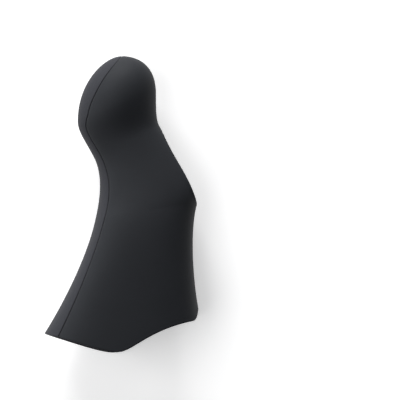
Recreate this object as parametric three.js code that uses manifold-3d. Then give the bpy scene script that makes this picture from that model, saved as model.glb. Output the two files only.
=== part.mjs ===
// Brake lever hood for a road bicycle's drop-bar lever: one hollow moulded rubber cover.
//
// The hood is modelled on its own middle plane, which splits it left from right: the horn points up
// Y, the palm side faces -X, the finger side faces +X and the width runs along Z. At the end it is
// turned a little, because the free hood lies on one flank with its finger side rolled down.
// All sizes are in millimetres.
import * as THREE from "three";
import { mergeVertices } from "three/addons/utils/BufferGeometryUtils.js";
import Module from "manifold-3d";

// Side outline, palm side: the back that the palm and the web of the thumb lie on, as [x, y].
const HORN_TIP = [0.6, 117.6];
const HORN_PALM = [-16.9, 91.9];
const NECK_PALM = [-10.6, 77.6];
const GRIP_PALM = [-10.1, 52.2];
const TAIL_PALM = [-30.2, 7.6];

// Side outline, finger side: how deep the hood is there from the palm side, and how high that is.
const HORN_DEPTH = 31.1;
const HORN_FINGER_HEIGHT = 102.8;
const NOTCH_DEPTH = 26.5;
const NOTCH_HEIGHT = 89.2;
const CHIN_DEPTH = 40.5;
const CHIN_HEIGHT = 58.7;
const HEEL_DEPTH = 61.0;
const HEEL_HEIGHT = 17.1;

// Half widths across the flanks, and how high each is measured.
const HORN_HALF_WIDTH = 15.6;
const HORN_WIDEST_HEIGHT = 99.0;
const NECK_HALF_WIDTH = 13.2;
const NECK_NARROWEST_HEIGHT = 85.5;
const GRIP_HALF_WIDTH = 16.6;
const GRIP_WIDTH_HEIGHT = 61.7;
const TAIL_HALF_WIDTH = 19.5;
const TAIL_WIDTH_HEIGHT = 11.0;

// How each outline runs through its knots, from horn tip to rear rim: its heading in degrees from
// +X, and how far its curve leans on that heading before and after the knot.
const PALM_RUN = [
  { heading: 180, after: 6.5 },
  { heading: -90, before: 15.7, after: 4.3 },
  { heading: -62.1, before: 8.2, after: 9.8 },
  { heading: -102.6, before: 4.6, after: 13.5 },
  { heading: -122.4, before: 16 },
];
const FINGER_RUN = [
  { heading: 0, after: 6.5 },
  { heading: -90, before: 11.3, after: 7.4 },
  { heading: -55, before: 3, after: 13 },
  { heading: -107, before: 13, after: 9.5 },
  { heading: -79.8, before: 14 },
];
const FLANK_RUN = [
  { heading: 0, after: 8.3 },
  { heading: -95, before: 10, after: 6 },
  { heading: -90, before: 6, after: 8 },
  { heading: -82, before: 8, after: 14 },
  { heading: -88, before: 14 },
];

// Stations along the hood: 0 at the horn tip, then one at each knot, with the opening between the
// notch and the chin.
const NOTCH_STATION = 2;
const CHIN_STATION = 3;
const RIM_STATION = 4;

// Shape of a section at the five stations: how square it is, and how much wider towards the palm.
const STATIONS = [0, 1, NOTCH_STATION, CHIN_STATION, RIM_STATION];
const SQUARENESS = [0.0, 0.01, 0.03, 0.05, 0.06];
const PALM_SPREAD = [0.0, 0.0, 0.04, 0.12, 0.16];

// Rear rim, which meets the handlebar: a straight cut from the tail, a lobe over each flank of the
// bar, then a hollow line to the heel with a shallow bay in the middle of the strap.
const RIM_STRAIGHT_END = [-18.1, 3.8];
const RIM_LOBE = [-2.2, 0.0];
const RIM_RUN = [
  { heading: -17.5, after: 4 },
  { heading: 0, before: 4, after: 6.3 },
  { heading: 8.9, before: 21 },
];
const BAY_DEPTH = 4.4;
const BAY_HALF_WIDTH = 10.0;

// Rubber wall, the hem round the lever opening and the groove that marks off the palm panel.
const WALL = 2.2;
const HEM_EXTRA = 0.7;
const HEM_REACH = 4.0;
const HEM_ROUNDING = 0.9;
const EDGE_SWELL = 0.4;
const GROOVE_WIDTH = 0.8;
const GROOVE_DEPTH = 0.5;
const GROOVE_STATIONS = [0, 0.2, 0.5, 0.8, 1, 1.4, NOTCH_STATION, 2.5, 3.2, RIM_STATION];
const GROOVE_ANGLES_DEG = [89, 85, 70, 53, 41, 32.5, 34.5, 40, 39, 41];

// Locating studs inside each flank, which snap into the lever body.
const STUD_RADIUS = 2.4;
const STUD_HEIGHT = 2.0;
const STUD_ROOT = 0.8;
const STUD_STATIONS = [2.35, 3.45];

// How the free hood comes to rest on its flank.
const REST_PITCH_DEG = -3.0;
const REST_ROLL_DEG = 4.0;

// Fineness of the facets.
const OPENING_TOP_STATION = 1.75;
const OPENING_BOTTOM_STATION = 3.08;
const OPENING_STATIONS = [OPENING_TOP_STATION, NOTCH_STATION, CHIN_STATION, OPENING_BOTTOM_STATION];
const ROW_STATIONS = [0, 1, ...OPENING_STATIONS, RIM_STATION];
const ROW_COUNTS = [13, 5, 2, 12, 1, 14];
const COLUMNS_PANEL = 4;
const COLUMNS_FLANK = 15;
const OPENING_COLUMNS = 8;
const OPENING_RINGS = [0.35, 0.65, 0.85, 1];
const EDGE_SAMPLES = 240;
const EDGE_STEPS = 4;
const STUD_FACETS = 24;

// Small steps in which slopes are measured, and how near to the horn tip they still hold.
const STEP = 1e-3;
const WIDE_STEP = 0.01;
const TIP_CLEARANCE = 0.03;
const MERGE = 1e-4;

/** A smooth guide through points, one cubic Bezier between each two, on its headings and leans. */
function guide(points, run) {
  const places = points.map((point) => new THREE.Vector2(...point));
  const headings = run.map(({ heading }) => THREE.MathUtils.degToRad(heading));
  const directions = headings.map((heading) => new THREE.Vector2(Math.cos(heading), Math.sin(heading)));
  const handle = (i, reach) => places[i].clone().addScaledVector(directions[i], reach);
  return places.slice(1).map((end, i) => {
    const leaving = handle(i, run[i].after);
    const arriving = handle(i + 1, -run[i + 1].before);
    return new THREE.CubicBezierCurve(places[i], leaving, arriving, end);
  });
}

/** The point of a guide at station u: 0 is its first knot, 1 the second, and so on. */
function along(curves, u) {
  const piece = Math.min(Math.floor(u), curves.length - 1);
  return curves[piece].getPoint(u - piece);
}

const hornFinger = [HORN_PALM[0] + HORN_DEPTH, HORN_FINGER_HEIGHT];
const notch = [NECK_PALM[0] + NOTCH_DEPTH, NOTCH_HEIGHT];
const chin = [GRIP_PALM[0] + CHIN_DEPTH, CHIN_HEIGHT];
const heel = [TAIL_PALM[0] + HEEL_DEPTH, HEEL_HEIGHT];

const palmGuide = guide([HORN_TIP, HORN_PALM, NECK_PALM, GRIP_PALM, TAIL_PALM], PALM_RUN);
const fingerGuide = guide([HORN_TIP, hornFinger, notch, chin, heel], FINGER_RUN);

// The flank guide is the outline seen from the palm side: half width against height.
const flankKnots = [
  [0, HORN_TIP[1]],
  [HORN_HALF_WIDTH, HORN_WIDEST_HEIGHT],
  [NECK_HALF_WIDTH, NECK_NARROWEST_HEIGHT],
  [GRIP_HALF_WIDTH, GRIP_WIDTH_HEIGHT],
  [TAIL_HALF_WIDTH, TAIL_WIDTH_HEIGHT],
];
const flankGuide = guide(flankKnots, FLANK_RUN);

const rimGuide = [
  new THREE.LineCurve(new THREE.Vector2(...TAIL_PALM), new THREE.Vector2(...RIM_STRAIGHT_END)),
  ...guide([RIM_STRAIGHT_END, RIM_LOBE, [heel[0], heel[1] - BAY_DEPTH]], RIM_RUN),
];

/** Finds where a rising function crosses zero between low and high. */
function solve(f, low, high) {
  for (let i = 0; i < 40; i++) {
    const middle = (low + high) / 2;
    if (f(middle) < 0) low = middle;
    else high = middle;
  }
  return (low + high) / 2;
}

/** A value read off a table by station, on a smooth curve through the table's values. */
function tableAt(stations, values, u) {
  const end = stations.length - 1;
  const slope = (from, to) => (values[to] - values[from]) / (stations[to] - stations[from]);
  const slopeAt = (k) => slope(Math.max(k - 1, 0), Math.min(k + 1, end));
  const next = stations.findIndex((station) => station > u);
  const i = next < 0 ? end - 1 : Math.max(next - 1, 0);
  const width = stations[i + 1] - stations[i];
  const t = (u - stations[i]) / width;
  const level = values[i] * (1 + 2 * t) * (1 - t) ** 2 + values[i + 1] * t * t * (3 - 2 * t);
  return level + width * t * (1 - t) * (slopeAt(i) * (1 - t) - slopeAt(i + 1) * t);
}

/** The height of the rear rim over a place on the plan of the hood seen from its tail. */
function rimHeight(x, z) {
  const u = solve((v) => along(rimGuide, v).x - x, 0, rimGuide.length);
  const offCentre = Math.min(1, Math.abs(z) / BAY_HALF_WIDTH);
  const bay = x > 0 ? BAY_DEPTH * (1 - offCentre ** 2) ** 2 : 0;
  return along(rimGuide, u).y + bay;
}

/** A point of the outer skin: station u from horn tip to rear rim, angle round from the palm ridge. */
function skin(u, angle) {
  const a = tableAt(STATIONS, SQUARENESS, u);
  const spread = 1 + tableAt(STATIONS, PALM_SPREAD, u) * Math.cos(angle);
  const across = (1 - (Math.cos(angle) - a * Math.cos(3 * angle)) / (1 - a)) / 2;
  const side = (Math.sin(angle) + a * Math.sin(3 * angle)) / (1 - a);
  const z = along(flankGuide, u).x * spread * side;
  const p = along(palmGuide, u).lerp(along(fingerGuide, u), across);
  const pull = Math.max(0, u - CHIN_STATION) ** 2;
  if (pull > 0) {
    const end = new THREE.Vector2(...TAIL_PALM).lerp(new THREE.Vector2(...heel), across);
    p.y += pull * (rimHeight(end.x, z) - end.y);
  }
  return new THREE.Vector3(p.x, p.y, z);
}

/** The direction of the skin from horn to rim. */
function skinDown(u, angle) {
  const safe = THREE.MathUtils.clamp(u, TIP_CLEARANCE, RIM_STATION - STEP);
  return skin(safe + STEP, angle).sub(skin(safe - STEP, angle)).normalize();
}

/** The outward normal of the skin. */
function skinNormal(u, angle) {
  const safe = Math.max(u, TIP_CLEARANCE);
  const round = skin(safe, angle + STEP).sub(skin(safe, angle - STEP));
  return skinDown(u, angle).cross(round).normalize();
}

/** How far the uncut skin stands past the edge of the lever opening, seen from the side. */
function pastEdge(u, angle) {
  const p = skin(u, angle);
  const s = (notch[1] - p.y) / (notch[1] - chin[1]);
  const swell = EDGE_SWELL * Math.sin(2 * Math.PI * THREE.MathUtils.clamp(s, 0, 1));
  return p.x - (THREE.MathUtils.lerp(notch[0], chin[0], s) - swell);
}

/** Half the outline of the lever opening from notch to chin, as stations and angles on the skin. */
function openingOutline() {
  const half = (CHIN_STATION - NOTCH_STATION) / 2;
  const first = solve((u) => pastEdge(u, Math.PI), NOTCH_STATION - half / 5, NOTCH_STATION + half);
  const last = solve((u) => -pastEdge(u, Math.PI), CHIN_STATION - half, CHIN_STATION + half / 5);
  const outline = [];
  for (let i = 0; i <= EDGE_SAMPLES; i++) {
    const share = (1 - Math.cos((Math.PI * i) / EDGE_SAMPLES)) / 2;
    const u = THREE.MathUtils.lerp(first, last, share);
    const onRidge = i === 0 || i === EDGE_SAMPLES;
    const angle = onRidge ? Math.PI : solve((v) => pastEdge(u, v), Math.PI / 2, Math.PI);
    outline.push({ u, angle });
  }
  return outline;
}

/** The distance between two places on the skin. */
function apart(a, b) {
  return skin(a.u, a.angle).distanceTo(skin(b.u, b.angle));
}

/** Running lengths along places on the skin, as shares of the whole. */
function lengthShares(places) {
  const lengths = [0];
  for (let i = 1; i < places.length; i++) {
    lengths.push(lengths[i - 1] + apart(places[i - 1], places[i]));
  }
  return lengths.map((length) => length / lengths[lengths.length - 1]);
}

/** A place a share of the way between two places on the skin. */
function between(a, b, share) {
  const { lerp } = THREE.MathUtils;
  return { u: lerp(a.u, b.u, share), angle: lerp(a.angle, b.angle, share) };
}

/** The stations of the rows, from just below the horn tip to the rear rim. */
function rowStations() {
  const rows = [];
  ROW_COUNTS.forEach((count, i) => {
    for (let k = 1; k <= count; k++) {
      rows.push(THREE.MathUtils.lerp(ROW_STATIONS[i], ROW_STATIONS[i + 1], k / count));
    }
  });
  return rows;
}

/** The places round one row: the palm panel, the groove and the flank of one side, then the other. */
function rowPlaces(u) {
  const groove = THREE.MathUtils.degToRad(tableAt(GROOVE_STATIONS, GROOVE_ANGLES_DEG, u));
  const reach = apart({ u, angle: groove + WIDE_STEP }, { u, angle: groove - WIDE_STEP }) / (2 * WIDE_STEP);
  const half = Math.min(GROOVE_WIDTH / 2 / reach, groove / 3);
  const side = [];
  for (let i = 0; i <= COLUMNS_PANEL; i++) {
    side.push({ u, angle: ((groove - half) * i) / COLUMNS_PANEL, depth: 0 });
  }
  side.push({ u, angle: groove, depth: GROOVE_DEPTH });
  for (let i = 0; i <= COLUMNS_FLANK; i++) {
    side.push({ u, angle: THREE.MathUtils.lerp(groove + half, Math.PI, i / COLUMNS_FLANK), depth: 0 });
  }
  const other = side.slice(1, -1).reverse();
  return [...side, ...other.map(({ angle, depth }) => ({ u, angle: 2 * Math.PI - angle, depth }))];
}

/** The outer and inner points of the wall at a place. */
function wallAt({ u, angle, depth = 0 }, extra = 0) {
  const outside = skin(u, angle);
  const normal = skinNormal(u, angle);
  const inner = outside.clone().addScaledVector(normal, -(WALL + extra));
  if (u > CHIN_STATION) {
    const down = skinDown(u, angle);
    const height = (p) => p.y - rimHeight(p.x, p.z);
    const rate = (height(inner.clone().addScaledVector(down, WIDE_STEP)) - height(inner)) / WIDE_STEP;
    const drop = (u - CHIN_STATION) * (height(outside) - height(inner));
    inner.addScaledVector(down, drop / rate);
  }
  return { outer: outside.addScaledVector(normal, -depth), inner };
}

const triangles = [];

/** Adds a four-cornered facet, seen anticlockwise from outside and split along its shorter diagonal. */
function quad(a, b, c, d) {
  if (a.distanceTo(c) <= b.distanceTo(d)) triangles.push(a, b, c, a, c, d);
  else triangles.push(a, b, d, b, c, d);
}

/** Adds the facets of both skins between two neighbouring runs of wall points. */
function wallBetween(upper, lower) {
  for (let j = 0; j + 1 < upper.length; j++) {
    quad(upper[j].outer, lower[j].outer, lower[j + 1].outer, upper[j + 1].outer);
    quad(upper[j + 1].inner, lower[j + 1].inner, lower[j].inner, upper[j].inner);
  }
}

const rowUs = rowStations();
const rowsOfPlaces = rowUs.map(rowPlaces);
const rows = rowsOfPlaces.map((places) => [...places, places[0]].map((place) => wallAt(place)));
const turn = rows[0].length;
const middle = (turn - 1) / 2;
const left = middle - OPENING_COLUMNS;
const right = middle + OPENING_COLUMNS;
const top = rowUs.findIndex((u) => u >= OPENING_TOP_STATION);
const bottom = rowUs.findIndex((u) => u >= OPENING_BOTTOM_STATION);

// The horn's dome over the first row.
const tip = new THREE.Vector3(...HORN_TIP, 0);
const tipOuter = tip.clone().add(new THREE.Vector3(0, -GROOVE_DEPTH, 0));
const tipInner = tip.clone().add(new THREE.Vector3(0, -WALL, 0));
for (let j = 0; j + 1 < turn; j++) {
  triangles.push(tipOuter, rows[0][j].outer, rows[0][j + 1].outer);
  triangles.push(tipInner, rows[0][j + 1].inner, rows[0][j].inner);
}

// The wall row by row, which passes the lever opening by on both sides.
for (let i = 0; i + 1 < rows.length; i++) {
  if (i >= top && i < bottom) {
    wallBetween(rows[i].slice(0, left + 1), rows[i + 1].slice(0, left + 1));
    wallBetween(rows[i].slice(right), rows[i + 1].slice(right));
  } else {
    wallBetween(rows[i], rows[i + 1]);
  }
}

// The flat edge of the rear rim.
const rim = rows[rows.length - 1];
for (let j = 0; j + 1 < turn; j++) {
  quad(rim[j].outer, rim[j].inner, rim[j + 1].inner, rim[j + 1].outer);
}

/** Half the border of the grid round the lever opening, from its top middle to its bottom middle. */
function borderPlaces() {
  const border = [];
  for (let j = middle; j > left; j--) border.push(rowsOfPlaces[top][j]);
  for (let i = top; i < bottom; i++) border.push(rowsOfPlaces[i][left]);
  for (let j = left; j <= middle; j++) border.push(rowsOfPlaces[bottom][j]);
  return border;
}

/** The runs of places from the border of the grid in to where the hem starts to round, on one side. */
function openingRings() {
  const border = borderPlaces();
  const outline = openingOutline();
  const outlineShares = lengthShares(outline);
  const edge = lengthShares(border).map((share) => {
    const us = outline.map((place) => place.u);
    const angles = outline.map((place) => place.angle);
    return { u: tableAt(outlineShares, us, share), angle: tableAt(outlineShares, angles, share) };
  });
  const hemStart = edge.map((end, k) => between(end, border[k], HEM_ROUNDING / apart(end, border[k])));
  return OPENING_RINGS.map((share) => hemStart.map((end, k) => between(border[k], end, share)));
}

/** The other side's run of places, going on round the opening from the bottom middle to the top. */
function mirrored(run) {
  const back = run.slice(0, -1).reverse();
  return back.map((place) => ({ ...place, angle: 2 * Math.PI - place.angle }));
}

// The wall and the hem round the lever opening.
const rings = openingRings();
const edgeSkin = rings[rings.length - 1].map(({ u, angle }) => skin(u, angle));
const hems = rings.map((run) => {
  return run.map((place, k) => {
    const distance = skin(place.u, place.angle).distanceTo(edgeSkin[k]);
    return HEM_EXTRA * (1 - THREE.MathUtils.smoothstep(distance, 0, HEM_REACH));
  });
});
const ringWalls = rings.map((run, r) => {
  const around = [...run, ...mirrored(run)];
  return around.map((place, k) => wallAt(place, hems[r][k < run.length ? k : around.length - 1 - k]));
});
const border = borderPlaces();
const borderWalls = [...border, ...mirrored(border)].map((place) => wallAt(place));
ringWalls.forEach((ring, r) => wallBetween(ring, r > 0 ? ringWalls[r - 1] : borderWalls));

// The rounded edge of the hem, which bulges back out to the edge of the opening.
const last = ringWalls[ringWalls.length - 1];
const before = ringWalls[ringWalls.length - 2];
const edgeRuns = [];
for (let step = 0; step <= EDGE_STEPS; step++) {
  const share = step / EDGE_STEPS;
  edgeRuns.push(
    last.map(({ outer, inner }, k) => {
      const into = outer.clone().sub(before[k].outer).normalize();
      const bulge = HEM_ROUNDING * Math.sin(Math.PI * share);
      return outer.clone().lerp(inner, share).addScaledVector(into, bulge);
    }),
  );
}
for (let step = 0; step < EDGE_STEPS; step++) {
  for (let k = 0; k + 1 < last.length; k++) {
    quad(edgeRuns[step][k], edgeRuns[step][k + 1], edgeRuns[step + 1][k + 1], edgeRuns[step + 1][k]);
  }
}

const wasm = await Module();
wasm.setup();

/** A closed geometry as a solid that can be joined and cut. */
function solid(geometry) {
  const bare = geometry.clone();
  bare.deleteAttribute("normal");
  bare.deleteAttribute("uv");
  const merged = mergeVertices(bare, MERGE);
  const index = merged.index.array;
  const kept = [];
  for (let i = 0; i < index.length; i += 3) {
    const [a, b, c] = index.slice(i, i + 3);
    if (a !== b && b !== c && a !== c) kept.push(a, b, c);
  }
  const vertProperties = merged.attributes.position.array;
  return new wasm.Manifold(new wasm.Mesh({ numProp: 3, vertProperties, triVerts: new Uint32Array(kept) }));
}

/** A solid back as a three.js geometry. */
function geometryOf(made) {
  const { numProp, vertProperties, triVerts } = made.getMesh();
  const positions = new Float32Array((vertProperties.length / numProp) * 3);
  for (let i = 0; i * numProp < vertProperties.length; i++) {
    positions.set(vertProperties.subarray(i * numProp, i * numProp + 3), i * 3);
  }
  const geometry = new THREE.BufferGeometry();
  geometry.setAttribute("position", new THREE.BufferAttribute(positions, 3));
  geometry.setIndex(new THREE.BufferAttribute(triVerts, 1));
  return geometry;
}

/** A locating stud that stands inwards from the inner wall of a flank. */
function studGeometry(u, angle) {
  const normal = skinNormal(u, angle);
  const foot = skin(u, angle).addScaledVector(normal, -(WALL - STUD_ROOT));
  const length = STUD_HEIGHT + STUD_ROOT;
  const geometry = new THREE.CylinderGeometry(STUD_RADIUS, STUD_RADIUS, length, STUD_FACETS);
  geometry.translate(0, length / 2, 0);
  const inwards = normal.negate();
  geometry.applyQuaternion(new THREE.Quaternion().setFromUnitVectors(new THREE.Vector3(0, 1, 0), inwards));
  geometry.translate(foot.x, foot.y, foot.z);
  return geometry;
}

let hood = solid(new THREE.BufferGeometry().setFromPoints(triangles));
for (const station of STUD_STATIONS) {
  for (const angle of [-Math.PI / 2, Math.PI / 2]) hood = hood.add(solid(studGeometry(station, angle)));
}

const rubber = new THREE.MeshStandardMaterial({ name: "rubber", color: 0x2a2b2e, roughness: 0.62 });
const cover = new THREE.Mesh(geometryOf(hood), rubber);
cover.name = "hood";
cover.geometry.rotateX(THREE.MathUtils.degToRad(REST_PITCH_DEG));
cover.geometry.rotateY(THREE.MathUtils.degToRad(REST_ROLL_DEG));
cover.geometry.computeBoundingBox();
const { min, max } = cover.geometry.boundingBox;
cover.geometry.translate(-(min.x + max.x) / 2, -(min.y + max.y) / 2, -min.z);
cover.geometry.computeVertexNormals();

const part = new THREE.Group();
part.add(cover);

export default part;
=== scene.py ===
"""A brake lever hood, one hollow moulded rubber cover, lying on its flank in soft studio light.

The hood is modelled on its own middle plane, with the horn up Y, the palm side towards -X and the
width along Z. It is then turned to its resting pose and set in the box of its solid.
"""

from __future__ import annotations

import logging
import math
from dataclasses import dataclass, field
from enum import Enum
from functools import cached_property

import bmesh
import bpy
from mathutils import Euler, Matrix, Vector
from mathutils.geometry import interpolate_bezier
from mathutils.kdtree import KDTree

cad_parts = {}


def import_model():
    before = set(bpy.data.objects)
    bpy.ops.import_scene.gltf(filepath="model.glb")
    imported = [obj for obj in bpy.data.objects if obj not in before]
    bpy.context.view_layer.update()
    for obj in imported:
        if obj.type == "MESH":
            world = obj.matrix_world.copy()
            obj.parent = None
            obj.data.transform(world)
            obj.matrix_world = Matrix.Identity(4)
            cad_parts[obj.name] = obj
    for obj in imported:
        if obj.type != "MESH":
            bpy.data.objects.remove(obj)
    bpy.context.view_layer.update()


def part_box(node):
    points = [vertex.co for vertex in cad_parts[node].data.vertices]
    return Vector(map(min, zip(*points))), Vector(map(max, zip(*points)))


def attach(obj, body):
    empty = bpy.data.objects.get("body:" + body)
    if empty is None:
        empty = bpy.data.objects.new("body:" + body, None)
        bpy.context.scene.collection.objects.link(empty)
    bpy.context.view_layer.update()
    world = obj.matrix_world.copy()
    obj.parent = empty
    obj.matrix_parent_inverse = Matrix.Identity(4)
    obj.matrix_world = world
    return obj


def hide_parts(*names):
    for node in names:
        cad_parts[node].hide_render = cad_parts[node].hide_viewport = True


LOG = logging.getLogger("hood")
MM = 0.001

# Stations count along the hood, from 0 at the horn's tip. These are the ones that shapes hang on.
NOTCH_STATION = 2.0
CHIN_STATION = 3.0
RIM_STATION = 4.0
STATION_SLACK = 1e-4

# Places on the hood's middle plane, in mm from the palm side to the finger side and up to the horn.
HORN_TIP = (0.6, 117.6)
NOTCH = (15.9, 89.2)
CHIN = (30.4, 58.7)
HEEL = (30.8, 17.1)
TAIL = (-30.2, 7.6)

# How close points have to be, in mm, to be taken for one.
CUT_SLACK = 1e-5
TIP_MERGE = 1e-4
SEAM_MERGE = 1e-3


class Mouth(Enum):
    """The two openings of the hood."""

    LEVER = "lever"
    REAR = "rear"


class Lamp(Enum):
    """The lamps of the studio: over the palm side, beyond the horn, and low along the palm side."""

    SIDE = "side"
    HORN = "horn"
    RIM = "rim"


def linear(hex_colour: str) -> tuple[float, float, float, float]:
    """Turns an sRGB hex colour to linear light.

    Args:
        hex_colour: The colour as six hex digits, such as "2a2b2e".

    Returns:
        Red, green, blue and an alpha of 1.
    """
    channels = [int(hex_colour[i : i + 2], 16) / 255 for i in (0, 2, 4)]
    toe = [c / 12.92 if c <= 0.04045 else ((c + 0.055) / 1.055) ** 2.4 for c in channels]
    return (toe[0], toe[1], toe[2], 1.0)


def smooth_step(value: float, low: float, high: float) -> float:
    """Eases from 0 at low to 1 at high.

    Args:
        value: The place between the two ends.
        low: Where the step starts.
        high: Where the step ends.

    Returns:
        The eased share, from 0 to 1.
    """
    t = min(max((value - low) / (high - low), 0.0), 1.0)
    return t * t * (3 - 2 * t)


@dataclass(frozen=True)
class Table:
    """A value that changes from horn tip to rear rim, on a smooth curve through a few values."""

    stations: tuple[float, ...]
    values: tuple[float, ...]

    def slope(self, index: int) -> float:
        """The slope of the curve at one of its values."""
        before, after = max(index - 1, 0), min(index + 1, len(self.values) - 1)
        rise = self.values[after] - self.values[before]
        return rise / (self.stations[after] - self.stations[before])

    def at(self, station: float) -> float:
        """Reads the curve.

        Args:
            station: Where along the hood, 0 at the horn tip and 4 at the rear rim.

        Returns:
            The value there.
        """
        piece = 0
        while piece < len(self.stations) - 2 and station >= self.stations[piece + 1]:
            piece += 1
        width = self.stations[piece + 1] - self.stations[piece]
        t = (station - self.stations[piece]) / width
        level = self.values[piece] * (1 + 2 * t) * (1 - t) ** 2 + self.values[piece + 1] * t * t * (3 - 2 * t)
        bend = self.slope(piece) * (1 - t) - self.slope(piece + 1) * t
        return level + width * t * (1 - t) * bend


@dataclass(frozen=True)
class Knot:
    """A place that a guide passes, with its heading in degrees from +X and its handles' reach, in mm."""

    x: float
    y: float
    heading: float
    reach_in: float
    reach_out: float

    @property
    def place(self) -> Vector:
        """The knot's own point."""
        return Vector((self.x, self.y))

    @property
    def direction(self) -> Vector:
        """The unit vector along the guide."""
        angle = math.radians(self.heading)
        return Vector((math.cos(angle), math.sin(angle)))


@dataclass(frozen=True)
class Guide:
    """A smooth line through knots, one cubic Bezier between each two."""

    knots: tuple[Knot, ...]

    def points(self, rows: tuple[int, ...]) -> list[Vector]:
        """Samples the guide.

        Args:
            rows: How many steps each piece is cut into.

        Returns:
            The points in order, each knot once.
        """
        found = [self.knots[0].place]
        for start, end, steps in zip(self.knots, self.knots[1:], rows):
            first_handle = start.place + start.direction * start.reach_out
            second_handle = end.place - end.direction * end.reach_in
            found += interpolate_bezier(start.place, first_handle, second_handle, end.place, steps + 1)[1:]
        return found


@dataclass(frozen=True)
class RearRim:
    """The rear edge seen from the side: a straight tail, a lobe over each flank and a line up to the heel."""

    tail: tuple[float, float] = TAIL
    straight_end: tuple[float, float] = (-18.1, 3.8)
    straight_reach: float = 4.0
    lobe: tuple[float, float] = (-2.2, 0.0)
    lobe_reach_in: float = 4.0
    lobe_reach_out: float = 6.3
    heel: tuple[float, float] = HEEL
    heel_heading: float = 8.9
    heel_reach: float = 21.0
    bay_depth: float = 4.4
    bay_half_width: float = 10.0
    samples: int = 60

    @cached_property
    def line(self) -> list[Vector]:
        """The rim's points from tail to heel, without the bay."""
        straight = Vector(self.straight_end) - Vector(self.tail)
        heading = math.degrees(math.atan2(straight.y, straight.x))
        heel_x, heel_y = self.heel
        curve = Guide(
            (
                Knot(*self.straight_end, heading, self.straight_reach, self.straight_reach),
                Knot(*self.lobe, 0, self.lobe_reach_in, self.lobe_reach_out),
                Knot(heel_x, heel_y - self.bay_depth, self.heel_heading, self.heel_reach, self.heel_reach),
            )
        )
        return [Vector(self.tail), *curve.points((self.samples, self.samples))]

    def height(self, x: float, z: float) -> float:
        """Finds the rim's height over a place on the hood's plan.

        Args:
            x: Place from the palm side to the finger side.
            z: Place across the width.

        Returns:
            The height in mm, with the bay in the middle of the finger side.
        """
        line = self.line
        after = next((i for i in range(1, len(line)) if line[i].x >= x), len(line) - 1)
        a, b = line[after - 1], line[after]
        level = a.y + (b.y - a.y) * (x - a.x) / (b.x - a.x)
        off_centre = min(1.0, abs(z) / self.bay_half_width)
        return level + (self.bay_depth * (1 - off_centre**2) ** 2 if x > 0 else 0.0)


@dataclass
class Section:
    """One cross-section of the skin, at a station between the horn tip and the rear rim."""

    station: float
    palm: Vector
    finger: Vector
    half_width: float
    squareness: float
    spread: float
    rim: RearRim

    def point(self, angle: float) -> Vector:
        """Finds a point of the skin.

        Args:
            angle: Angle round from the palm ridge, half a turn at the finger side.

        Returns:
            The point in mm.
        """
        square = self.squareness
        across = (1 - (math.cos(angle) - square * math.cos(3 * angle)) / (1 - square)) / 2
        side = (math.sin(angle) + square * math.sin(3 * angle)) / (1 - square)
        z = self.half_width * (1 + self.spread * math.cos(angle)) * side
        x, y = self.palm.lerp(self.finger, across)
        pull = max(0.0, self.station - CHIN_STATION) ** 2
        if pull > 0:
            end = Vector(self.rim.tail).lerp(Vector(self.rim.heel), across)
            y += pull * (self.rim.height(end.x, z) - end.y)
        return Vector((x, y, z))

    def reach(self, angle: float) -> float:
        """How far the skin runs for each radian of angle, in mm."""
        step = 0.01
        return (self.point(angle + step) - self.point(angle - step)).length / (2 * step)


@dataclass(frozen=True)
class Stud:
    """A round stud inside a flank that locates the hood on the lever body. Sizes in mm."""

    radius: float = 2.4
    height: float = 2.0
    root: float = 0.8
    taper: float = 0.9
    edge_round: float = 0.4
    edge_steps: int = 3
    facets: int = 48

    def add(self, bm: bmesh.types.BMesh, place: Vector, inwards: Vector) -> None:
        """Adds one stud to a mesh, with its root sunk in the wall.

        Args:
            bm: The mesh.
            place: Where it stands on the inner wall.
            inwards: The unit vector from there into the hollow.
        """
        turn = inwards.to_track_quat("Z", "Y").to_matrix().to_4x4()
        middle = place + inwards * ((self.height - self.root) / 2)
        made = bmesh.ops.create_cone(
            bm,
            cap_ends=True,
            segments=self.facets,
            radius1=self.radius,
            radius2=self.radius * self.taper,
            depth=self.height + self.root,
            matrix=Matrix.Translation(middle) @ turn,
        )
        top = middle + inwards * (self.height + self.root) / 2
        edges = dict.fromkeys(e for v in made["verts"] for e in v.link_edges)
        rim = [e for e in edges if all(abs((v.co - top).dot(inwards)) < SEAM_MERGE for v in e.verts)]
        bmesh.ops.bevel(
            bm,
            geom=rim,
            offset=self.edge_round,
            segments=self.edge_steps,
            profile=0.5,
            affect="EDGES",
            material=-1,
        )


@dataclass(frozen=True)
class Groove:
    """The fine groove that bounds the palm panel. Sizes in mm."""

    # The rows of vertices stand close together in a band, given in groove widths to each side.
    width: float = 0.6
    depth: float = 0.3
    floor: float = 0.1
    share_at_tip: float = 0.4
    full_from: float = 0.8
    band: float = 0.75
    most_of_panel: float = 1 / 3
    least_reach: float = 1e-3
    angle: Table = Table(
        (0, 0.2, 0.5, 0.8, 1, 1.4, 2, 2.5, 3.2, 4),
        (89, 85, 70, 53, 41, 32.5, 34.5, 40, 39, 41),
    )

    def middle(self, section: Section) -> float:
        """The groove's angle round from the palm ridge."""
        return math.radians(self.angle.at(section.station))

    def half_band(self, section: Section) -> float:
        """Finds how far the close columns reach to each side of the groove.

        Args:
            section: The row's cross-section.

        Returns:
            The angle, which leaves most of the palm panel free where the horn closes.
        """
        middle = self.middle(section)
        reach = max(section.reach(middle), self.least_reach)
        return min(self.width * self.band / reach, middle * self.most_of_panel)

    def share(self, section: Section, off: float) -> float:
        """Finds how much of its depth the groove has at a place.

        Args:
            section: The row's cross-section.
            off: How far the place is from the groove's middle, in mm.

        Returns:
            The share, which runs out towards the horn's tip.
        """
        full = smooth_step(section.station, 0, self.full_from)
        deepest = self.share_at_tip + (1 - self.share_at_tip) * full
        return deepest * (1 - smooth_step(abs(off), self.floor, self.width / 2 + self.floor))


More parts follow.
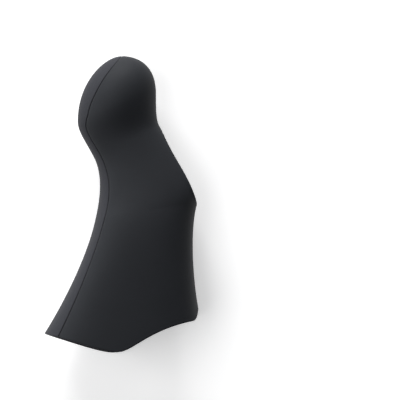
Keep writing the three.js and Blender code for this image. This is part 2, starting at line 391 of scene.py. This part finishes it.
@dataclass
class HoodShell:
    """The moulded cover: a lofted skin, cut open for the lever, walled, grooved and edged. Sizes in mm."""

    rows: tuple[int, ...] = (44, 24, 52, 84)
    panel_columns: int = 14
    groove_columns: int = 8
    flank_columns: int = 44
    wall: float = 2.2
    # The lever opening's edge swells off its straight line, and its hem is thicker than the wall.
    edge_swell: float = 0.4
    border_step: float = 0.35
    hem_extra: float = 0.7
    hem_reach: float = 4.0
    hem_round: float = 0.9
    hem_bulge: float = 1.1
    hem_steps: int = 10
    hem_squareness: float = 0.75
    # The ways out over the edge are blended along it, so that the hem turns evenly.
    blend_length: float = 1.5
    blend_reach: float = 2.0
    blend_sharpness: float = 2.0
    rim_round: float = 0.35
    rim_round_steps: int = 2
    stud_stations: tuple[float, ...] = (2.35, 3.45)
    sharp_angle: float = 40.0
    rest_pitch: float = -3.0
    rest_roll: float = 4.0
    stud: Stud = Stud()
    groove: Groove = Groove()
    rim: RearRim = field(default_factory=RearRim)
    notch: tuple[float, float] = NOTCH
    chin: tuple[float, float] = CHIN
    squareness: Table = Table((0, 1, 2, 3, 4), (0.0, 0.01, 0.03, 0.05, 0.06))
    spread: Table = Table((0, 1, 2, 3, 4), (0.0, 0.0, 0.04, 0.12, 0.16))
    palm_guide: Guide = Guide(
        (
            Knot(*HORN_TIP, 180, 6.5, 6.5),
            Knot(-16.9, 91.9, -90, 15.7, 4.3),
            Knot(-10.6, 77.6, -62.1, 8.2, 9.8),
            Knot(-10.1, 52.2, -102.6, 4.6, 13.5),
            Knot(*TAIL, -122.4, 16, 16),
        )
    )
    finger_guide: Guide = Guide(
        (
            Knot(*HORN_TIP, 0, 6.5, 6.5),
            Knot(14.2, 102.8, -90, 11.3, 7.4),
            Knot(*NOTCH, -55, 3, 13),
            Knot(*CHIN, -107, 13, 9.5),
            Knot(*HEEL, -79.8, 14, 14),
        )
    )
    flank_guide: Guide = Guide(
        (
            Knot(0, HORN_TIP[1], 0, 8.3, 8.3),
            Knot(15.6, 99, -95, 10, 6),
            Knot(13.2, 85.5, -90, 6, 8),
            Knot(16.6, 61.7, -82, 8, 14),
            Knot(19.5, 11, -88, 14, 14),
        )
    )

    @cached_property
    def sections(self) -> list[Section]:
        """The cross-sections of all rows, from horn tip to rear rim."""
        stations = [0.0]
        for piece, steps in enumerate(self.rows):
            stations += [piece + (k + 1) / steps for k in range(steps)]
        guides = (self.palm_guide, self.finger_guide, self.flank_guide)
        palm, finger, flank = (guide.points(self.rows) for guide in guides)
        return [
            Section(u, palm[i], finger[i], flank[i].x, self.squareness.at(u), self.spread.at(u), self.rim)
            for i, u in enumerate(stations)
        ]

    def column_angle(self, section: Section, column: int) -> float:
        """Spaces the columns: even over the palm panel, close across the groove, even over the flank.

        Args:
            section: The row's cross-section.
            column: The column's number, 0 on the palm ridge.

        Returns:
            The angle round from the palm ridge.
        """
        middle, half = self.groove.middle(section), self.groove.half_band(section)
        if column <= self.panel_columns:
            return (middle - half) * column / self.panel_columns
        column -= self.panel_columns
        if column <= self.groove_columns:
            return middle - half + 2 * half * column / self.groove_columns
        column -= self.groove_columns
        return middle + half + (math.pi - middle - half) * column / self.flank_columns

    def past_edge(self, place: Vector) -> float:
        """How far a point of the uncut skin stands past the edge of the lever opening, seen from the side."""
        share = (self.notch[1] - place.y) / (self.notch[1] - self.chin[1])
        swell = self.edge_swell * math.sin(2 * math.pi * min(max(share, 0.0), 1.0))
        return place.x - (self.notch[0] + (self.chin[0] - self.notch[0]) * share - swell)

    def half_skin(self, bm: bmesh.types.BMesh) -> None:
        """Lays a grid over half of the skin and notes the groove, the panel and the station on it.

        Args:
            bm: The mesh to fill.
        """
        columns = self.panel_columns + self.groove_columns + self.flank_columns
        last_row = len(self.sections) - 1
        bmesh.ops.create_grid(bm, x_segments=columns, y_segments=last_row, size=1)
        depth = bm.verts.layers.float.new("groove")
        panel = bm.verts.layers.float.new("panel")
        station = bm.verts.layers.float.new("station")
        for vert in bm.verts:
            section = self.sections[round((1 - vert.co.y) / 2 * last_row)]
            angle = self.column_angle(section, round((vert.co.x + 1) / 2 * columns))
            middle = self.groove.middle(section)
            off = (angle - middle) * section.reach(middle)
            vert[depth] = self.groove.share(section, off)
            vert[panel] = 1.0 if off < 0 else 0.0
            vert[station] = section.station
            vert.co = section.point(angle)
        bmesh.ops.remove_doubles(bm, verts=bm.verts, dist=TIP_MERGE)

    def cut_lever_opening(self, bm: bmesh.types.BMesh) -> None:
        """Cuts the finger side open along a plane from notch to chin, then gives the cut its slight swell.

        Args:
            bm: The whole skin.
        """
        notch, chin = Vector((*self.notch, 0)), Vector((*self.chin, 0))
        line = chin - notch
        outward = Vector((-line.y, line.x, 0)).normalized()
        station = bm.verts.layers.float["station"]
        low, high = NOTCH_STATION - STATION_SLACK, CHIN_STATION + STATION_SLACK
        near = [f for f in bm.faces if all(low < v[station] < high for v in f.verts)]
        verts = dict.fromkeys(v for f in near for v in f.verts)
        edges = dict.fromkeys(e for f in near for e in f.edges)
        geom = [*verts, *edges, *near]
        bmesh.ops.bisect_plane(
            bm, geom=geom, dist=CUT_SLACK, plane_co=notch, plane_no=outward, clear_outer=True
        )
        self.weld_short_edges(bm)
        for vert in self.border(bm):
            vert.co.x -= self.past_edge(vert.co)

    def border(self, bm: bmesh.types.BMesh) -> list[bmesh.types.BMVert]:
        """The vertices on the edge of the lever opening."""
        station = bm.verts.layers.float["station"]
        return [v for v in bm.verts if v.is_boundary and v[station] < RIM_STATION - STATION_SLACK]

    def weld_short_edges(self, bm: bmesh.types.BMesh) -> None:
        """Welds what the cut left closer together than the border's facets should be.

        Args:
            bm: The whole skin, just cut.
        """
        border = self.border(bm)
        on_border = set(border)
        targets = {}
        for vert in border:
            for edge in vert.link_edges:
                other = edge.other_vert(vert)
                if other not in on_border and other not in targets and edge.calc_length() < self.border_step:
                    targets[other] = vert
        bmesh.ops.weld_verts(bm, targetmap=targets)
        short = [e for e in bm.edges if e.is_boundary and e.calc_length() < self.border_step]
        targets, used = {}, set()
        for edge in sorted(short, key=lambda e: e.calc_length()):
            first, second = edge.verts
            if first not in used and second not in used:
                targets[first] = second
                used.update((first, second))
        bmesh.ops.weld_verts(bm, targetmap=targets)

    def mouths(self, bm: bmesh.types.BMesh) -> dict[Mouth, list[bmesh.types.BMEdge]]:
        """Sorts the open edges.

        Args:
            bm: The whole skin.

        Returns:
            The edges of each mouth.
        """
        station = bm.verts.layers.float["station"]
        found: dict[Mouth, list[bmesh.types.BMEdge]] = {Mouth.LEVER: [], Mouth.REAR: []}
        for edge in bm.edges:
            if edge.is_boundary:
                at_rear = all(v[station] > RIM_STATION - STATION_SLACK for v in edge.verts)
                found[Mouth.REAR if at_rear else Mouth.LEVER].append(edge)
        return found

    def way_out(self, vert: bmesh.types.BMVert, normal: Vector) -> Vector:
        """Finds the way that leads along the skin and out over the opening's edge.

        Args:
            vert: A vertex of the edge.
            normal: The skin's normal there.

        Returns:
            The unit vector.
        """
        ends = [e.other_vert(vert).co for e in vert.link_edges if e.is_boundary]
        way = normal.cross(ends[1] - ends[0]).normalized()
        body = sum((f.calc_center_median() for f in vert.link_faces), Vector()) / len(vert.link_faces)
        return way if way.dot(body - vert.co) < 0 else -way

    def blended_way(self, place: Vector, near: KDTree, ways: list[Vector]) -> tuple[Vector, float]:
        """Blends the ways out over the piece of edge next to a point, so that they turn evenly along it.

        Args:
            place: The point.
            near: The vertices of the edge.
            ways: Their own ways out.

        Returns:
            The unit vector, and how far the nearest vertex of the edge is.
        """
        distance = near.find(place)[2]
        blend = Vector()
        for _, index, apart in near.find_range(place, distance + self.blend_reach * self.blend_length):
            further = (apart - distance) / self.blend_length
            blend += ways[index] * math.exp(-(further**2) * self.blend_sharpness)
        return blend.normalized(), distance

    def add_wall(self, bm: bmesh.types.BMesh) -> None:
        """Doubles the skin inwards, joins both skins round the mouths, and sinks the groove in the outer one.

        Args:
            bm: The whole skin, which knows its own normals from before the cut.
        """
        mouths = self.mouths(bm)
        normal = bm.verts.layers.float_vector["normal"]
        border = self.border(bm)
        own_ways = [self.way_out(v, v[normal]) for v in border]
        near = KDTree(len(border))
        for i, vert in enumerate(border):
            near.insert(vert.co, i)
        near.balance()
        ways = [self.blended_way(v.co, near, own_ways)[0] for v in border]
        outer = list(bm.verts)
        copied = bmesh.ops.duplicate(bm, geom=bm.verts[:] + bm.edges[:] + bm.faces[:])
        for out in outer:
            way, distance = self.blended_way(out.co, near, own_ways)
            self.place_inner(bm, out, copied["vert_map"][out], way, max(0.0, 1 - distance / self.hem_reach))
        self.sink_groove(bm, outer)
        bmesh.ops.reverse_faces(bm, faces=[g for g in copied["geom"] if isinstance(g, bmesh.types.BMFace)])
        inner_of = {v: copied["vert_map"][v] for v in border}
        hem = self.roll_hem(bm, mouths[Mouth.LEVER], inner_of, dict(zip(border, ways)))
        bmesh.ops.bridge_loops(bm, edges=hem + [copied["edge_map"][e] for e in mouths[Mouth.LEVER]])
        rear = mouths[Mouth.REAR] + [copied["edge_map"][e] for e in mouths[Mouth.REAR]]
        bmesh.ops.bridge_loops(bm, edges=rear)
        self.round_rear(bm, rear)

    def place_inner(
        self,
        bm: bmesh.types.BMesh,
        out: bmesh.types.BMVert,
        inner: bmesh.types.BMVert,
        way: Vector,
        closeness: float,
    ) -> None:
        """Sets a vertex of the inner skin under its outer one, and draws both back from the lever opening.

        Args:
            bm: Both skins.
            out: The outer vertex.
            inner: Its copy.
            way: The way out over the opening's edge.
            closeness: How near the edge is, 1 on it and 0 beyond the hem's reach.
        """
        layers = bm.verts.layers
        out.co -= way * (self.hem_round * closeness**2)
        hem = self.hem_extra * smooth_step(closeness, 0, 1)
        inner.co = out.co - out[layers.float_vector["normal"]] * (self.wall + hem)
        towards_rim = out[layers.float["station"]] - CHIN_STATION
        if towards_rim > 0:
            above = out.co.y - self.rim.height(out.co.x, out.co.z)
            now = inner.co.y - self.rim.height(inner.co.x, inner.co.z)
            inner.co.y += towards_rim * (above - now)
        inner[layers.float["groove"]] = 0.0
        inner[layers.float["panel"]] = 0.0

    def sink_groove(self, bm: bmesh.types.BMesh, outer: list[bmesh.types.BMVert]) -> None:
        """Sinks the groove in the outer skin."""
        groove, normal = bm.verts.layers.float["groove"], bm.verts.layers.float_vector["normal"]
        for out in outer:
            out.co -= out[normal] * (self.groove.depth * out[groove])

    def roll_hem(
        self,
        bm: bmesh.types.BMesh,
        edges: list[bmesh.types.BMEdge],
        inner_of: dict[bmesh.types.BMVert, bmesh.types.BMVert],
        ways: dict[bmesh.types.BMVert, Vector],
    ) -> list[bmesh.types.BMEdge]:
        """Extrudes the outer edge of the lever opening step by step over a rounded lip.

        Args:
            bm: Both skins.
            edges: The outer edge.
            inner_of: The inner skin's vertex under each vertex of the outer edge.
            ways: For each vertex of the outer edge, the way out over the edge.

        Returns:
            The last row of edges, next to the inner skin.
        """
        places = {v: (v.co.copy(), inner.co.copy()) for v, inner in inner_of.items()}
        source = {v: v for v in inner_of}
        for step in range(1, self.hem_steps):
            turn = math.pi * step / self.hem_steps
            along = math.copysign(abs(math.cos(turn)) ** self.hem_squareness, math.cos(turn))
            out = math.sin(turn) ** self.hem_squareness
            made = bmesh.ops.extrude_edge_only(bm, edges=edges)["geom"]
            row = {g for g in made if isinstance(g, bmesh.types.BMVert)}
            for vert in row:
                old = next(e.other_vert(vert) for e in vert.link_edges if e.other_vert(vert) not in row)
                source[vert] = source[old]
                top, bottom = places[source[vert]]
                middle = (top + bottom) / 2
                vert.co = middle + (top - middle) * along + ways[source[vert]] * (self.hem_bulge * out)
            edges = [g for g in made if isinstance(g, bmesh.types.BMEdge) and row.issuperset(g.verts)]
        return edges

    def round_rear(self, bm: bmesh.types.BMesh, edges: list[bmesh.types.BMEdge]) -> None:
        """Rounds the outer and the inner edge of the rear rim."""
        bmesh.ops.bevel(
            bm,
            geom=edges,
            offset=self.rim_round,
            offset_type="OFFSET",
            segments=self.rim_round_steps,
            profile=0.5,
            affect="EDGES",
            clamp_overlap=True,
            material=-1,
        )

    def wall_point(self, station: float, side: float) -> tuple[Vector, Vector]:
        """Finds a place on the inner wall halfway round a flank.

        Args:
            station: Where along the hood.
            side: 1 for the flank at +Z, -1 for the other.

        Returns:
            The place, and the unit vector from it into the hollow.
        """
        index = min(range(len(self.sections)), key=lambda i: abs(self.sections[i].station - station))
        before, here, after = (self.sections[index + i] for i in (-1, 0, 1))
        middle, step = math.pi / 2, 0.02
        down = after.point(middle) - before.point(middle)
        round_about = here.point(middle + step) - here.point(middle - step)
        inwards = down.cross(round_about).normalized()
        if inwards.z > 0:
            inwards.negate()
        place = here.point(middle) + inwards * self.wall
        return Vector((place.x, place.y, place.z * side)), Vector((inwards.x, inwards.y, inwards.z * side))

    def studs(self) -> bmesh.types.BMesh:
        """Models the studs on both flanks.

        Returns:
            The mesh, in mm.
        """
        bm = bmesh.new()
        for station in self.stud_stations:
            for side in (1, -1):
                self.stud.add(bm, *self.wall_point(station, side))
        return bm

    def cover(self) -> bmesh.types.BMesh:
        """Models the hood without its studs, in its own frame.

        Returns:
            The mesh, in mm.
        """
        bm = bmesh.new()
        self.half_skin(bm)
        bmesh.ops.mirror(bm, geom=bm.verts[:] + bm.edges[:] + bm.faces[:], axis="Z", merge_dist=SEAM_MERGE)
        bmesh.ops.remove_doubles(bm, verts=bm.verts, dist=SEAM_MERGE)
        bmesh.ops.recalc_face_normals(bm, faces=bm.faces)
        bm.normal_update()
        normal = bm.verts.layers.float_vector.new("normal")
        for vert in bm.verts:
            vert[normal] = vert.normal
        self.cut_lever_opening(bm)
        self.add_wall(bm)
        bm.verts.layers.float_vector.remove(bm.verts.layers.float_vector["normal"])
        bm.verts.layers.float.remove(bm.verts.layers.float["station"])
        return bm

    def build(self, box: tuple[Vector, Vector], finish: bpy.types.Material) -> bpy.types.Object:
        """Makes the finished piece, lying on its flank in its place.

        Args:
            box: The lowest and the highest corner of the hood's place, in metres.
            finish: The rubber.

        Returns:
            The piece, with its place in its mesh.
        """
        cover = new_object("hood_cover", self.cover(), finish)
        studs = new_object("hood_studs", self.studs(), finish)
        join = cover.modifiers.new("studs", "BOOLEAN")
        join.operation = "UNION"
        join.solver = "EXACT"
        join.object = studs
        joined = bpy.data.meshes.new_from_object(cover.evaluated_get(bpy.context.evaluated_depsgraph_get()))
        cover.modifiers.clear()
        cover.data = joined
        bpy.data.objects.remove(studs)
        pitch = Matrix.Rotation(math.radians(self.rest_pitch), 4, "X")
        roll = Matrix.Rotation(math.radians(self.rest_roll), 4, "Y")
        joined.transform(Matrix.Scale(MM, 4) @ roll @ pitch)
        lows = Vector(min(v.co[i] for v in joined.vertices) for i in range(3))
        highs = Vector(max(v.co[i] for v in joined.vertices) for i in range(3))
        shift = (box[0] + box[1] - lows - highs) / 2
        shift.z = box[0].z - lows.z
        joined.transform(Matrix.Translation(shift))
        joined.shade_smooth()
        joined.set_sharp_from_angle(angle=math.radians(self.sharp_angle))
        return cover


def new_object(name: str, bm: bmesh.types.BMesh, finish: bpy.types.Material) -> bpy.types.Object:
    """Turns a bmesh into an object of the scene and frees it.

    Args:
        name: The piece's name.
        bm: Its mesh.
        finish: Its material.

    Returns:
        The object, at the origin.
    """
    mesh = bpy.data.meshes.new(name)
    bm.to_mesh(mesh)
    bm.free()
    mesh.materials.append(finish)
    made = bpy.data.objects.new(name, mesh)
    bpy.context.scene.collection.objects.link(made)
    return made


def add_node(
    tree: bpy.types.NodeTree,
    kind: str,
    settings: dict[str, object] | None = None,
    links: dict[str | int, bpy.types.NodeSocket | float | tuple] | None = None,
) -> bpy.types.Node:
    """Adds a node with its settings and what goes into its sockets.

    Args:
        tree: The node tree.
        kind: The node's type, such as "ShaderNodeBump".
        settings: Its own properties by name.
        links: What each input takes by name or number, either another node's output or a constant.

    Returns:
        The node.
    """
    node = tree.nodes.new(kind)
    for name, value in (settings or {}).items():
        setattr(node, name, value)
    for name, value in (links or {}).items():
        if isinstance(value, bpy.types.NodeSocket):
            tree.links.new(value, node.inputs[name])
        else:
            node.inputs[name].default_value = value
    return node


def new_material(name: str) -> tuple[bpy.types.Material, bpy.types.NodeTree]:
    """Starts a material.

    Args:
        name: The material's name.

    Returns:
        The material and its empty node tree.
    """
    made = bpy.data.materials.new(name)
    made.use_nodes = True
    made.node_tree.nodes.clear()
    return made, made.node_tree


def per_metre(size_mm: float) -> float:
    """Turns a pattern's real size in mm to a texture's scale on coordinates in metres."""
    return 1 / (size_mm * MM)


@dataclass(frozen=True)
class MouldedRubber:
    """Black rubber, compression moulded in a steel tool that was blasted with fine beads."""

    # The blasted tool leaves a matt skin with no clear reflections: light only gathers in a broad,
    # soft sheen where the hood curves away. Carbon black gives the rubber its cold, near black
    # colour. The palm panel, from a coarser blasted part of the tool, is duller; its paler colour is
    # painted light, standing for the light that the palm side catches. The groove's darker colour is
    # painted shade in its recess.
    name: str = "moulded_rubber"
    flank_dark: str = "1c1e22"
    flank_light: str = "212327"
    # Painted light: the palm panel is coloured paler for the light that the palm side catches.
    panel_painted_light: str = "28292e"
    # Painted shade: the groove is coloured darker for the shade in its recess.
    groove_painted_shade: str = "131417"
    ior: float = 1.5
    specular_level: float = 0.2
    flank_roughness: float = 0.72
    panel_roughness: float = 0.78
    # Slow changes of tone, as wide as the flow marks of the rubber in the tool, in mm.
    tone_size: float = 14.0
    tone_detail: float = 3.0
    tone_roughness: float = 0.55
    # The real bead marks are about 0.1 mm wide, too fine to show, so they are drawn seven times coarser.
    grain_size: float = 0.7
    grain_height: float = 0.02
    grain_detail: float = 2.0
    grain_roughness: float = 0.6
    # The coarser marks of the palm panel are about 0.2 mm wide, and are drawn over four times coarser.
    stipple_size: float = 0.9
    stipple_height: float = 0.05
    stipple_smoothness: float = 0.6

    def colour(
        self, tree: bpy.types.NodeTree, place: bpy.types.NodeSocket, panel: bpy.types.NodeSocket
    ) -> bpy.types.NodeSocket:
        """Mixes the flank's colours with the palm panel's painted light and the groove's painted shade.

        Args:
            tree: The rubber's node tree.
            place: The place on the piece.
            panel: 1 on the palm panel and 0 elsewhere.

        Returns:
            The colour.
        """
        groove = add_node(tree, "ShaderNodeAttribute", {"attribute_name": "groove"}).outputs["Fac"]
        tone = add_node(
            tree,
            "ShaderNodeTexNoise",
            links={
                "Vector": place,
                "Scale": per_metre(self.tone_size),
                "Detail": self.tone_detail,
                "Roughness": self.tone_roughness,
            },
        )
        mixed: bpy.types.NodeSocket | tuple = linear(self.flank_dark)
        steps = (
            (tone.outputs["Fac"], self.flank_light),
            # Painted light: the palm panel is coloured paler for the light that the palm side catches.
            (panel, self.panel_painted_light),
            # Painted shade: the groove is coloured darker for the shade in its recess.
            (groove, self.groove_painted_shade),
        )
        for share, colour in steps:
            mix = add_node(
                tree, "ShaderNodeMix", {"data_type": "RGBA"}, {0: share, 6: mixed, 7: linear(colour)}
            )
            mixed = mix.outputs[2]
        return mixed

    def relief(
        self, tree: bpy.types.NodeTree, place: bpy.types.NodeSocket, panel: bpy.types.NodeSocket
    ) -> bpy.types.NodeSocket:
        """Bumps the surface with the bead marks, and the palm panel with its coarser ones.

        Args:
            tree: The rubber's node tree.
            place: The place on the piece.
            panel: 1 on the palm panel and 0 elsewhere.

        Returns:
            The normal.
        """
        grain = add_node(
            tree,
            "ShaderNodeTexNoise",
            links={
                "Vector": place,
                "Scale": per_metre(self.grain_size),
                "Detail": self.grain_detail,
                "Roughness": self.grain_roughness,
            },
        )
        stipple = add_node(
            tree,
            "ShaderNodeTexVoronoi",
            {"feature": "SMOOTH_F1"},
            {
                "Vector": place,
                "Scale": per_metre(self.stipple_size),
                "Smoothness": self.stipple_smoothness,
            },
        )
        on_panel = add_node(
            tree, "ShaderNodeMath", {"operation": "MULTIPLY"}, {0: stipple.outputs["Distance"], 1: panel}
        )
        fine = add_node(
            tree,
            "ShaderNodeBump",
            links={"Height": grain.outputs["Fac"], "Distance": self.grain_height * MM, "Strength": 1.0},
        )
        coarse = add_node(
            tree,
            "ShaderNodeBump",
            links={
                "Height": on_panel.outputs[0],
                "Distance": self.stipple_height * MM,
                "Strength": 1.0,
                "Normal": fine.outputs["Normal"],
            },
        )
        return coarse.outputs["Normal"]

    def material(self) -> bpy.types.Material:
        """Builds the rubber.

        Returns:
            The material. The mesh marks its palm panel and its groove with attributes of those names.
        """
        made, tree = new_material(self.name)
        place = add_node(tree, "ShaderNodeTexCoord").outputs["Object"]
        panel = add_node(tree, "ShaderNodeAttribute", {"attribute_name": "panel"}).outputs["Fac"]
        roughness = add_node(
            tree,
            "ShaderNodeMapRange",
            links={"Value": panel, "To Min": self.flank_roughness, "To Max": self.panel_roughness},
        )
        skin = add_node(
            tree,
            "ShaderNodeBsdfPrincipled",
            links={
                "Base Color": self.colour(tree, place, panel),
                "Roughness": roughness.outputs[0],
                "IOR": self.ior,
                "Specular IOR Level": self.specular_level,
                "Normal": self.relief(tree, place, panel),
            },
        )
        add_node(tree, "ShaderNodeOutputMaterial", links={"Surface": skin.outputs[0]})
        return made


@dataclass(frozen=True)
class PaperSweep:
    """White photographer's paper, rolled and uncoated."""

    # Uncoated paper scatters all light evenly, so it shows no gloss, only white and a soft shadow.
    name: str = "white_paper"
    colour: str = "f4f4f4"
    glow: float = 0.42

    def material(self) -> bpy.types.Material:
        """Builds the paper.

        Returns:
            The material, with a glow that only camera, glossy and transmitted rays see.
        """
        made, tree = new_material(self.name)
        path = add_node(tree, "ShaderNodeLightPath")
        seen = add_node(
            tree,
            "ShaderNodeMath",
            {"operation": "MAXIMUM"},
            {0: path.outputs["Is Camera Ray"], 1: path.outputs["Is Glossy Ray"]},
        )
        seen_or_through = add_node(
            tree,
            "ShaderNodeMath",
            {"operation": "MAXIMUM"},
            {0: seen.outputs[0], 1: path.outputs["Is Transmission Ray"]},
        )
        strength = add_node(
            tree, "ShaderNodeMath", {"operation": "MULTIPLY"}, {0: seen_or_through.outputs[0], 1: self.glow}
        )
        paper = add_node(tree, "ShaderNodeBsdfDiffuse", links={"Color": linear(self.colour)})
        glow = add_node(tree, "ShaderNodeEmission", links={"Strength": strength.outputs[0]})
        both = add_node(tree, "ShaderNodeAddShader", links={0: paper.outputs[0], 1: glow.outputs[0]})
        add_node(tree, "ShaderNodeOutputMaterial", links={"Surface": both.outputs[0]})
        return made


@dataclass(frozen=True)
class SoftBox:
    """A soft lamp that faces the hood: the way to it in degrees, how far it hangs and its size in metres."""

    azimuth: float
    elevation: float
    width: float
    height: float
    watts: float
    distance: float = 1.3

    @property
    def place(self) -> Vector:
        """Where it hangs from the hood's middle."""
        turn = Euler((0, -math.radians(self.elevation), math.radians(self.azimuth)))
        return turn.to_matrix() @ Vector((self.distance, 0, 0))


@dataclass
class Studio:
    """A white paper floor, a dim even surround, soft lamps and a camera that looks straight down."""

    floor_side: float = 8.0
    surround: str = "3c3d40"
    surround_strength: float = 1.0
    # The camera stands to the right of the hood, which the picture frames left of its middle.
    camera_off_x: float = 0.03103
    camera_off_y: float = 0.0021
    camera_height: float = 1.2
    outline_height: float = 0.02
    sensor: float = 36.0
    view_width: float = 0.1583
    lamps: dict[Lamp, SoftBox] = field(
        default_factory=lambda: {
            Lamp.SIDE: SoftBox(azimuth=-172, elevation=60, width=1.0, height=1.0, watts=7.5),
            Lamp.HORN: SoftBox(azimuth=97, elevation=16, width=1.0, height=0.45, watts=30),
            Lamp.RIM: SoftBox(azimuth=182, elevation=12, width=0.9, height=0.35, watts=7.5),
        }
    )

    def floor(self) -> bpy.types.Object:
        """Lays the paper under the hood."""
        bm = bmesh.new()
        bmesh.ops.create_grid(bm, x_segments=1, y_segments=1, size=self.floor_side / 2)
        return new_object("studio_floor", bm, PaperSweep().material())

    def world(self) -> None:
        """Surrounds the scene with a dim, even light."""
        world = bpy.data.worlds.new("surround")
        world.use_nodes = True
        tree = world.node_tree
        tree.nodes.clear()
        light = add_node(
            tree,
            "ShaderNodeBackground",
            links={"Color": linear(self.surround), "Strength": self.surround_strength},
        )
        add_node(tree, "ShaderNodeOutputWorld", links={"Surface": light.outputs[0]})
        bpy.context.scene.world = world

    def hang_lamps(self, middle: Vector) -> None:
        """Hangs the lamps, each facing the hood.

        Args:
            middle: The middle of the hood, in metres.
        """
        for lamp, box in self.lamps.items():
            light = bpy.data.lights.new(f"{lamp.value}_lamp", "AREA")
            light.shape = "RECTANGLE"
            light.size = box.width
            light.size_y = box.height
            light.energy = box.watts
            made = bpy.data.objects.new(light.name, light)
            made.location = middle + box.place
            made.rotation_euler = (-box.place).to_track_quat("-Z", "Y").to_euler()
            bpy.context.scene.collection.objects.link(made)

    def camera(self, middle: Vector) -> None:
        """Sets the camera above the hood, at the photograph's angle and framing.

        Args:
            middle: The middle of the hood, in metres.
        """
        data = bpy.data.cameras.new("camera")
        data.sensor_width = self.sensor
        data.lens = self.sensor * self.camera_height / self.view_width
        made = bpy.data.objects.new("camera", data)
        made.location = (
            middle.x + self.camera_off_x,
            middle.y + self.camera_off_y,
            self.outline_height + self.camera_height,
        )
        bpy.context.scene.collection.objects.link(made)
        bpy.context.scene.camera = made

    def build(self, box: tuple[Vector, Vector]) -> None:
        """Sets up everything round the hood.

        Args:
            box: The lowest and the highest corner of the hood, in metres.
        """
        middle = (box[0] + box[1]) / 2
        self.world()
        self.floor()
        self.hang_lamps(middle)
        self.camera(middle)
        bpy.context.scene.view_settings.view_transform = "Standard"


def main() -> None:
    """Builds the hood, its finish and the studio round it."""
    logging.basicConfig(level=logging.INFO, format="%(name)s: %(message)s")
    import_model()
    hood_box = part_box("hood")
    hood = HoodShell().build(hood_box, MouldedRubber().material())
    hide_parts("hood")
    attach(hood, "root")
    LOG.info("%s: %d faces", hood.name, len(hood.data.polygons))
    Studio().build(hood_box)
    LOG.info("studio: floor, surround, lamps and camera")


if __name__ == "__main__":
    main()
